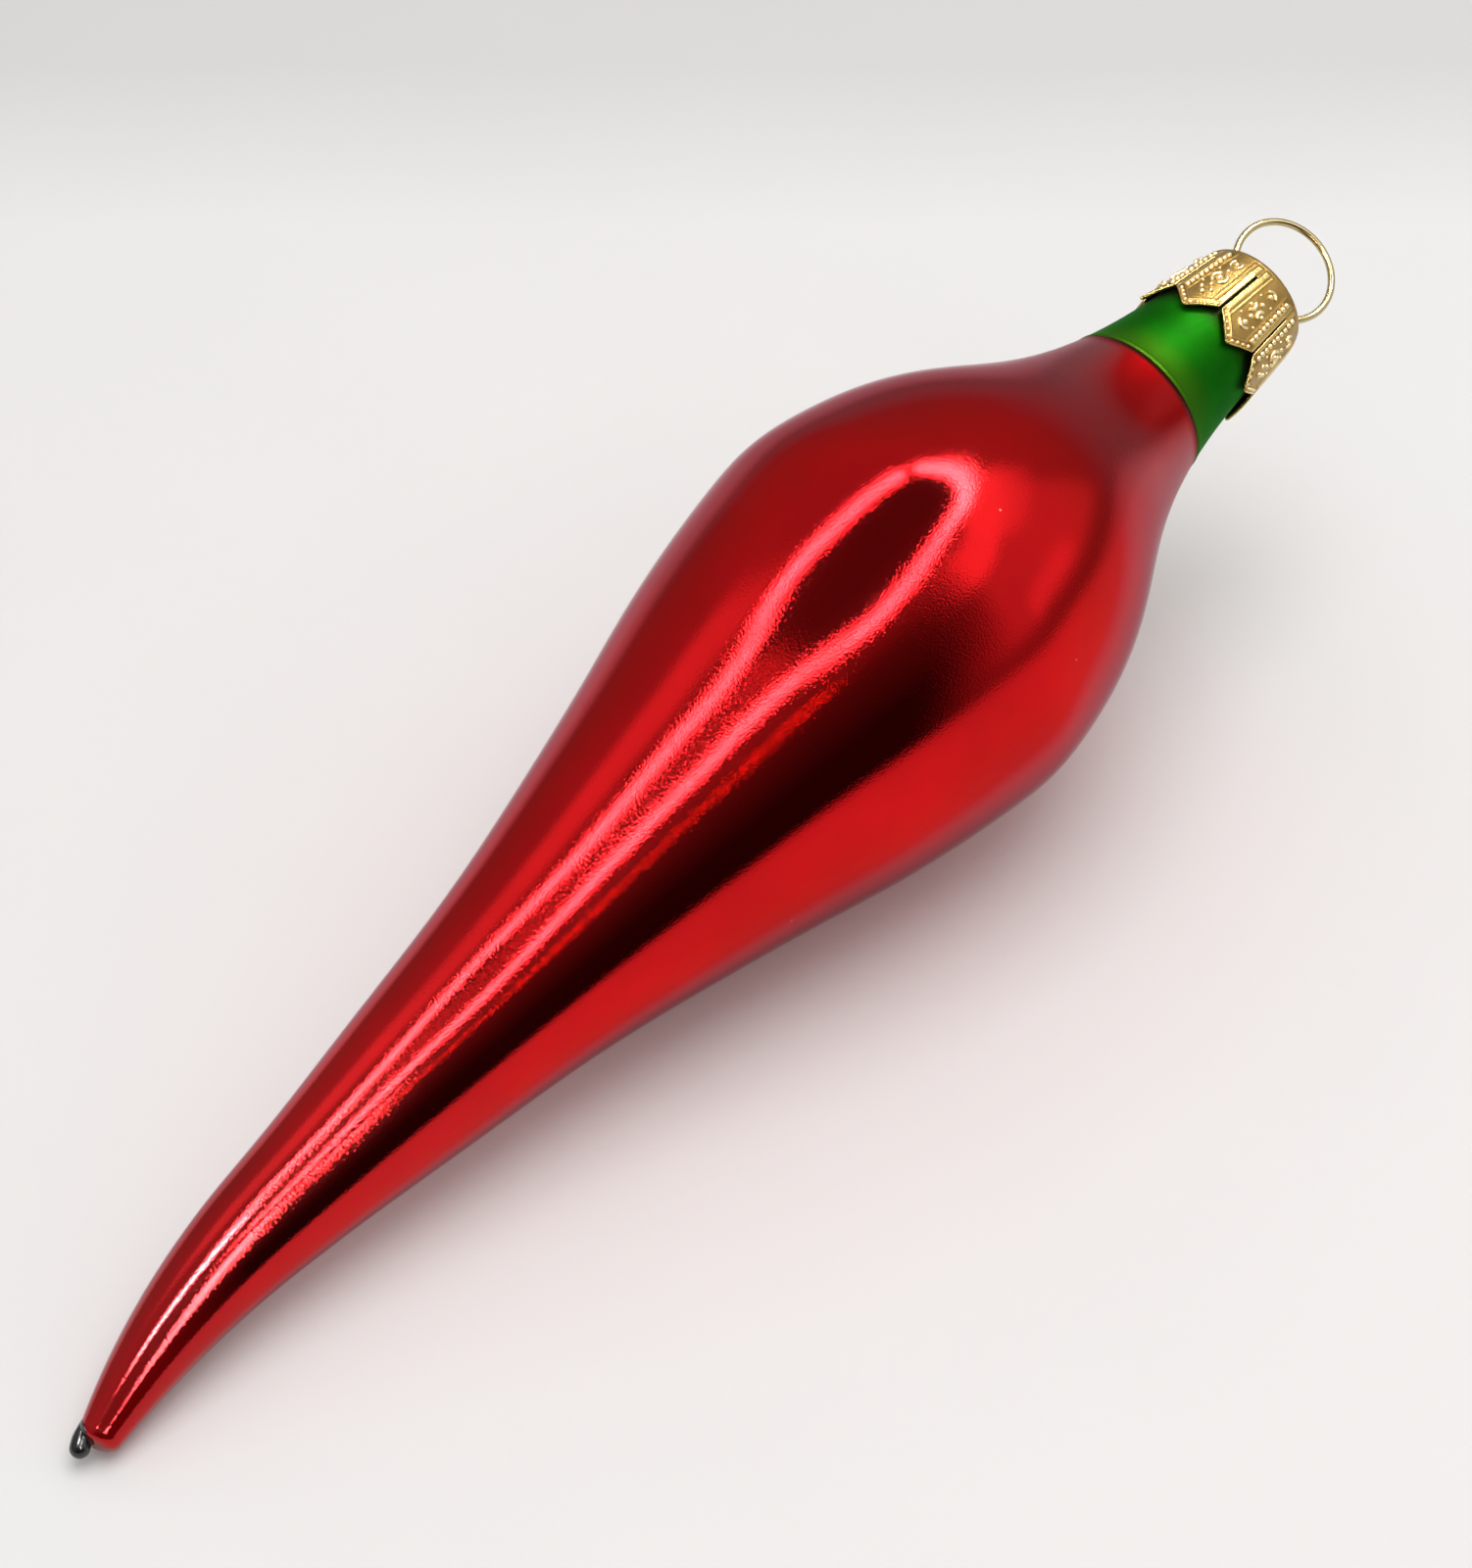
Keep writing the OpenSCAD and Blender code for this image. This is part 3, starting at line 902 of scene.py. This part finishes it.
# Scrolls have a place across and down, a bend, a start, a turn and a thickness; dots a place and radius
for petal in range(petals):
    beaded = beaded_side(petal)
    for k in range(beads_in_row):
        down = bead_from + bead_pitch * k
        raise_bead(petal, beaded * (petal_half(down) - bead_in), down, bead_r)
    for side in (-1, 1):
        for k in range(end_beads):
            down = skirt_len - end_bead_from - end_bead_pitch * k
            raise_bead(petal, side * (petal_half(down) - end_bead_in), down, end_bead_r)
    middle = -scroll_shift * beaded
    if beaded > 0:
        scrolls = [
            (0, 2.1, 0.46, 3.3, 2.8, 0.15), (-0.78, 4.35, 0.52, -1.1, 2.2, 0.17),
            (0.78, 4.35, 0.52, 2.04, 2.2, 0.17), (0, 6.15, 0.55, 0.3, 2.55, 0.15),
        ]
        dots = [
            (0, 2.2, 0.24), (0, 3.45, 0.22), (-0.75, 4.35, 0.2), (0.75, 4.35, 0.2),
            (0, 5.2, 0.22), (0, 6.15, 0.26), (-0.85, 5.75, 0.14), (0.85, 5.75, 0.14),
            (-0.7, 2.9, 0.13), (0.7, 2.9, 0.13),
        ]
    else:
        scrolls = [
            (0, 2.0, 0.5, 2.29, 1.7, 0.15), (0, 2.0, 0.5, -0.85, 1.7, 0.15),
            (0, 4.35, 0.66, 1.95, 2.4, 0.17), (0, 4.35, 0.66, -1.2, 2.4, 0.17),
        ]
        dots = [
            (0, 2.0, 0.22), (0, 3.2, 0.18), (0, 4.35, 0.3), (0, 5.5, 0.2), (-0.5, 6.15, 0.2),
            (0.5, 6.15, 0.2), (0, 6.75, 0.26), (-0.9, 3.2, 0.13), (0.9, 3.2, 0.13),
            (-0.95, 5.4, 0.13), (0.95, 5.4, 0.13),
        ]
    for across, down, bend, start, turn, thick in scrolls:
        raise_scroll(petal, middle + across, down, bend, start, turn, thick)
    for across, down, radius in dots:
        raise_bead(petal, middle + across, down, radius)
put_together(
    ornament, "cap_beads_and_scrolls",
    gilded("gilded_relief", relief_lit_pale, relief_lit_deep, 0.3, 0.3, 0.00001),
    "cap", "cap_metal", place=on_neck,
)

# Hanger wire
# One length of brass wire, bent into a round eye with two legs that go down through the cap.
# The legs spring apart inside the neck and end in curls, and so hold the cap on the glass.
loop_r = 4.65
elbow_r = 0.8
elbow_at = 0.35
leg_deep = 8
spread_turn = math.radians(14)
spread_len = 4.5
spread_r = 1.5
curl_r = 1
curl_turn = math.radians(150)
elbow_turn = math.acos((leg_out + elbow_r) / (elbow_r + loop_r))
loop_at = elbow_at + (elbow_r + loop_r) * math.sin(elbow_turn)

wire = bmesh.new()
made = bmesh.ops.create_circle(
    wire, segments=20, radius=wire_r,
    matrix=Matrix.Translation((0, 0, loop_at + loop_r)) @ Matrix.Rotation(math.pi / 2, 4, "Y"),
)
wire_end = rim_of(made)


def bend_wire(ring, middle, turn, steps):
    """Carries the wire's end round a bend."""
    made = bmesh.ops.spin(wire, geom=ring, cent=middle, axis=(0, 1, 0), angle=turn, steps=steps)
    return [g for g in made["geom_last"] if isinstance(g, bmesh.types.BMEdge)]


def run_wire(ring, way):
    """Carries the wire's end straight on."""
    made = bmesh.ops.extrude_edge_only(wire, edges=ring)
    fresh = [g for g in made["geom"] if isinstance(g, bmesh.types.BMVert)]
    bmesh.ops.translate(wire, verts=fresh, vec=way)
    keep = set(fresh)
    return [g for g in made["geom"] if isinstance(g, bmesh.types.BMEdge) and set(g.verts) <= keep]


wire_end = bend_wire(wire_end, (0, 0, loop_at), math.pi / 2 + elbow_turn, 48)
wire_end = bend_wire(wire_end, (leg_out + elbow_r, 0, elbow_at), -elbow_turn, 8)
wire_end = run_wire(wire_end, (0, 0, -leg_deep - elbow_at))
wire_end = bend_wire(wire_end, (leg_out + spread_r, 0, -leg_deep), -spread_turn, 4)
wire_end = run_wire(
    wire_end, (spread_len * math.sin(spread_turn), 0, -spread_len * math.cos(spread_turn))
)
curl_x = leg_out + spread_r * (1 - math.cos(spread_turn)) + spread_len * math.sin(spread_turn)
curl_z = -leg_deep - spread_r * math.sin(spread_turn) - spread_len * math.cos(spread_turn)
curl_at = (curl_x - curl_r * math.cos(spread_turn), 0, curl_z - curl_r * math.sin(spread_turn))
wire_end = bend_wire(wire_end, curl_at, curl_turn, 16)
bmesh.ops.edgeloop_fill(wire, edges=wire_end)
bmesh.ops.mirror(wire, geom=all_of(wire), axis="X", merge_dist=1e-3)
bmesh.ops.remove_doubles(wire, verts=wire.verts, dist=1e-3)
bmesh.ops.recalc_face_normals(wire, faces=wire.faces)

wire_pale = (0.6, 0.5, 0.27)
wire_deep = (0.42, 0.32, 0.13)
brass_finish, tree, shader = new_finish("drawn_brass_wire", Metallic=1.0)
place = object_place(tree)
gilt_tone = use_effect(
    tree, gilt_wear_and_shade, Place=place, Scale=1500.0, Raised=0.25,
    Pale=(*wire_pale, 1), Deep=(*wire_deep, 1),
)
feed(
    tree, shader, Base_Color=gilt_tone["Color"],
    Roughness=spread(tree, gilt_tone["Rub"], 0.0, 1.0, 0.3, 0.14),
    Normal=bumps(tree, noise(tree, place, 5200.0, 2.0), 0.00001, 0.3),
)
put_together(wire, "hanger_wire", brass_finish, "hanger", "wire", "hanger_wire", place=on_neck)

# Table, light and camera
# The ornament lies on a pale table in a white tent, open in front, under a loop of lamps.
# The tent, the loop and the cards only show in the lacquer and metal, so the camera doesn't see them.
table_half = 3.0
table_gap = 0.00006
paper_dull = (0.855, 0.848, 0.84)
paper_pale = (0.865, 0.858, 0.85)
far_way = (0.745, 0.667, 0)

paper_finish, tree, shader = new_finish("pale_table", Roughness=0.6, Specular_IOR_Level=0.2)
fibre = noise(tree, object_place(tree), 40.0, 4.0)
paper = ramp(tree, fibre, (0.3, paper_dull), (0.7, paper_pale))
# Painted shade: the table is darker beyond a line on its far side, where the light falls off
away = add_node(
    tree, "ShaderNodeVectorMath", {"operation": "DOT_PRODUCT"}, Vector=object_place(tree)
)
away.inputs[1].default_value = far_way
painted_falloff = spread(tree, away.outputs["Value"], 0.095, 0.125, 1.0, 0.84)
feed(tree, shader, Base_Color=scaled(tree, paper, painted_falloff))
table = bmesh.new()
bmesh.ops.create_grid(table, x_segments=2, y_segments=2, size=table_half)
table_piece = as_object(table, "table", paper_finish)
table_piece.location = (0, 0, -table_gap)


def glow(name, colour, strength):
    """A plain light-giving finish."""
    made = bpy.data.materials.new(name)
    made.use_nodes = True
    tree = made.node_tree
    tree.nodes.remove(tree.nodes["Principled BSDF"])
    light = add_node(tree, "ShaderNodeEmission", Color=(*colour, 1), Strength=strength)
    feed(tree, tree.nodes["Material Output"], Surface=light.outputs["Emission"])
    return made


def hang_card(made, name, finish):
    """Hangs a card or a ring in the set, out of the camera's sight."""
    card = as_object(made, name, finish)
    card.visible_camera = False
    card.visible_diffuse = False
    card.visible_shadow = False


# A loop of lamps over the table, longer on the neck's side and open where its cable leaves
lamp_tone = (1.0, 0.97, 0.95)
loop_high = 0.4
loop_mid = Vector((0, -0.014, loop_high))
loop_inside, loop_outside = 0.165, 0.184
loop_stretch, loop_short = 1.72, 0.95
neck_end, neck_waist, neck_swing, swing_full = 0.31, 0.26, 0.02, 0.2
near_pinch, near_slope = 0.25, 0.09
cable_from, cable_to = 0.18, 0.22
loop_of_light = bmesh.new()
rims = [
    bmesh.ops.create_circle(loop_of_light, segments=120, radius=radius)
    for radius in (loop_inside, loop_outside)
]
bmesh.ops.bridge_loops(loop_of_light, edges=[e for rim in rims for e in rim_of(rim)])
for vert in loop_of_light.verts:
    x, y, _ = vert.co
    if x > 0:
        x *= loop_stretch
        y *= 1 - neck_waist * math.sin(math.pi * min(x / neck_end, 1) ** 0.7)
        y += neck_swing * min(x / swing_full, 1)
    else:
        x *= loop_short
        y *= 1 - near_pinch * rise(-x, 0.03, 0.09)
        y += near_slope * x
    vert.co = Vector((x, y, 0)) + loop_mid
cable_gap = []
for face in loop_of_light.faces:
    middle = face.calc_center_median()
    if cable_from < middle.x < cable_to and middle.y > 0:
        cable_gap.append(face)
bmesh.ops.delete(loop_of_light, geom=cable_gap, context="FACES")
hang_card(loop_of_light, "loop_of_light", glow("lamp_white", lamp_tone, 52.0))


def light_strip(name, path, wide, finish, high=loop_high):
    """A flat strip of light along a few points of the ceiling."""
    made = bmesh.new()
    left, right = [], []
    for k, point in enumerate(path):
        way = (Vector(path[min(k + 1, len(path) - 1)]) - Vector(path[max(k - 1, 0)])).normalized()
        out = Vector((-way.y, way.x)) * wide / 2
        left.append(made.verts.new((*(Vector(point) + out), high)))
        right.append(made.verts.new((*(Vector(point) - out), high)))
    for k in range(len(path) - 1):
        made.faces.new((left[k], left[k + 1], right[k + 1], right[k]))
    hang_card(made, name, finish)


# Two strips that show in the tip, two warm lamps far in front, and a dim strip inside the loop
tip_lamp = glow("lamp_near_tip", lamp_tone, 175.0)
tip_lamp_high = 0.15
tip_left = [(-0.083, 0.001), (-0.097, 0.008), (-0.114, 0.01), (-0.124, 0.008)]
tip_right = [(-0.107, -0.166), (-0.098, -0.136), (-0.089, -0.091), (-0.08, -0.074)]
light_strip("tip_strip", tip_left, 0.008, tip_lamp, tip_lamp_high)
light_strip("front_strip", tip_right, 0.003, tip_lamp, tip_lamp_high)
warm_lamp = glow("lamp_warm", (1.0, 0.42, 0.07), 50.0)
light_strip("warm_lamp", [(-0.143, -0.274), (-0.135, -0.275)], 0.003, warm_lamp)
light_strip("warm_lamp_by_belly", [(-0.11, -0.29), (-0.1, -0.292)], 0.004, warm_lamp)
inner_lamp = glow("lamp_inside_loop", lamp_tone, 1.8)
light_strip("inner_strip", [(-0.096, -0.105), (-0.096, 0.03)], 0.013, inner_lamp)

# A grey card between the strips at the tip, and a dark one that fills the loop
grey = (1.0, 1.0, 1.0)
shade_high = tip_lamp_high + 0.002
shade = bmesh.new()
shade_line = [*tip_left, (-0.19, -0.02), (-0.17, -0.2), *tip_right]
shade.faces.new([shade.verts.new((*point, shade_high)) for point in shade_line])
hang_card(shade, "tip_shade", glow("shade_grey", grey, 0.2))

ceiling = bmesh.new()
bmesh.ops.create_circle(
    ceiling, cap_ends=True, segments=64, radius=0.172,
    matrix=Matrix.Translation(loop_mid + Vector((0, 0, 0.01))),
)
for vert in ceiling.verts:
    vert.co.x *= loop_stretch if vert.co.x > 0 else loop_short
hang_card(ceiling, "dark_ceiling", glow("ceiling_grey", grey, 0.12))

# A soft lamp for the table, kept out of the reflections
lamp = bpy.data.lights.new("soft_lamp", "AREA")
lamp.shape = "DISK"
lamp.size = 0.42
lamp.energy = 0.81
soft_lamp = bpy.data.objects.new("soft_lamp", lamp)
soft_lamp.location = (0.05, -0.03, 0.45)
soft_lamp.visible_glossy = False
bpy.context.scene.collection.objects.link(soft_lamp)

# The tent round the table: pale walls, a lit corner beside the neck, and the dark opening in front
tent_finish = glow("tent_light", (1.0, 0.98, 0.97), 1.0)
tree = tent_finish.node_tree
way = add_node(tree, "ShaderNodeVectorMath", {"operation": "NORMALIZE"}, Vector=object_place(tree))
split = add_node(tree, "ShaderNodeSeparateXYZ", Vector=way.outputs["Vector"]).outputs
up = combine(tree, "ARCSINE", split["Z"])
turn = combine(tree, "ARCTAN2", *(combine(tree, "MULTIPLY", split[axis], -1) for axis in "XY"))


def soft_step(value, low, high):
    """A soft step between two angles in degrees."""
    made = add_node(
        tree, "ShaderNodeMapRange", {"interpolation_type": "SMOOTHSTEP"}, Value=value,
        From_Min=math.radians(low), From_Max=math.radians(high),
    )
    return made.outputs["Result"]


def soft_patch(left, right, low, high, soft):
    """A soft-edged patch of the tent between two turns and two heights, in degrees."""
    sides, rows = (
        combine(
            tree, "SUBTRACT", soft_step(angle, start - soft, start + soft),
            soft_step(angle, end - soft, end + soft),
        )
        for angle, start, end in ((turn, left, right), (up, low, high))
    )
    return combine(tree, "MULTIPLY", sides, rows)


tent_high = spread(tree, up, 0, math.pi / 2, 0, 1)
level = levels(tree, tent_high, (0.0, 0.33), (0.28, 0.42), (0.5, 0.5), (0.66, 0.45), (1.0, 0.2))
for light, *patch in (
    (0.55, 152, 176, 44, 62, 4),
    (0.34, -74, -14, 10, 42, 5),
    (0.34, -54, -30, 11, 21, 4),
    (0.5, -82, -52, 37, 43, 3),
    (1.1, -86, -10, 43, 60, 3),
):
    level = combine(tree, "ADD", level, combine(tree, "MULTIPLY", soft_patch(*patch), light))
opening = combine(tree, "SUBTRACT", soft_step(turn, -15, -4), soft_step(turn, 70, 110))
darkness = levels(tree, tent_high, (0.25, 0.94), (0.52, 0.78), (0.68, 0.3))
open_share = combine(tree, "SUBTRACT", 1.0, combine(tree, "MULTIPLY", opening, darkness))
feed(tree, tree.nodes["Emission"], Strength=combine(tree, "MULTIPLY", level, open_share))
tent = bmesh.new()
bmesh.ops.create_uvsphere(tent, u_segments=48, v_segments=24, radius=1.2)
hang_card(tent, "tent", tent_finish)

world = bpy.data.worlds.new("studio")
bpy.context.scene.world = world
world.use_nodes = True
sky = world.node_tree.nodes["Background"]
sky.inputs["Color"].default_value = (1.0, 0.99, 0.98, 1)
sky.inputs["Strength"].default_value = 0.68

lens = bpy.data.cameras.new("camera")
lens.sensor_width = 36
lens.lens = 76.5
lens.clip_start = 0.01
camera = bpy.data.objects.new("camera", lens)
camera.location = (-0.14241, -0.126142, 0.197631)
camera.rotation_mode = "QUATERNION"
camera.rotation_quaternion = Vector((0.53336, 0.47786, -0.69797)).to_track_quat("-Z", "Y")
bpy.context.scene.collection.objects.link(camera)
bpy.context.scene.camera = camera
bpy.context.scene.view_settings.view_transform = "Standard"
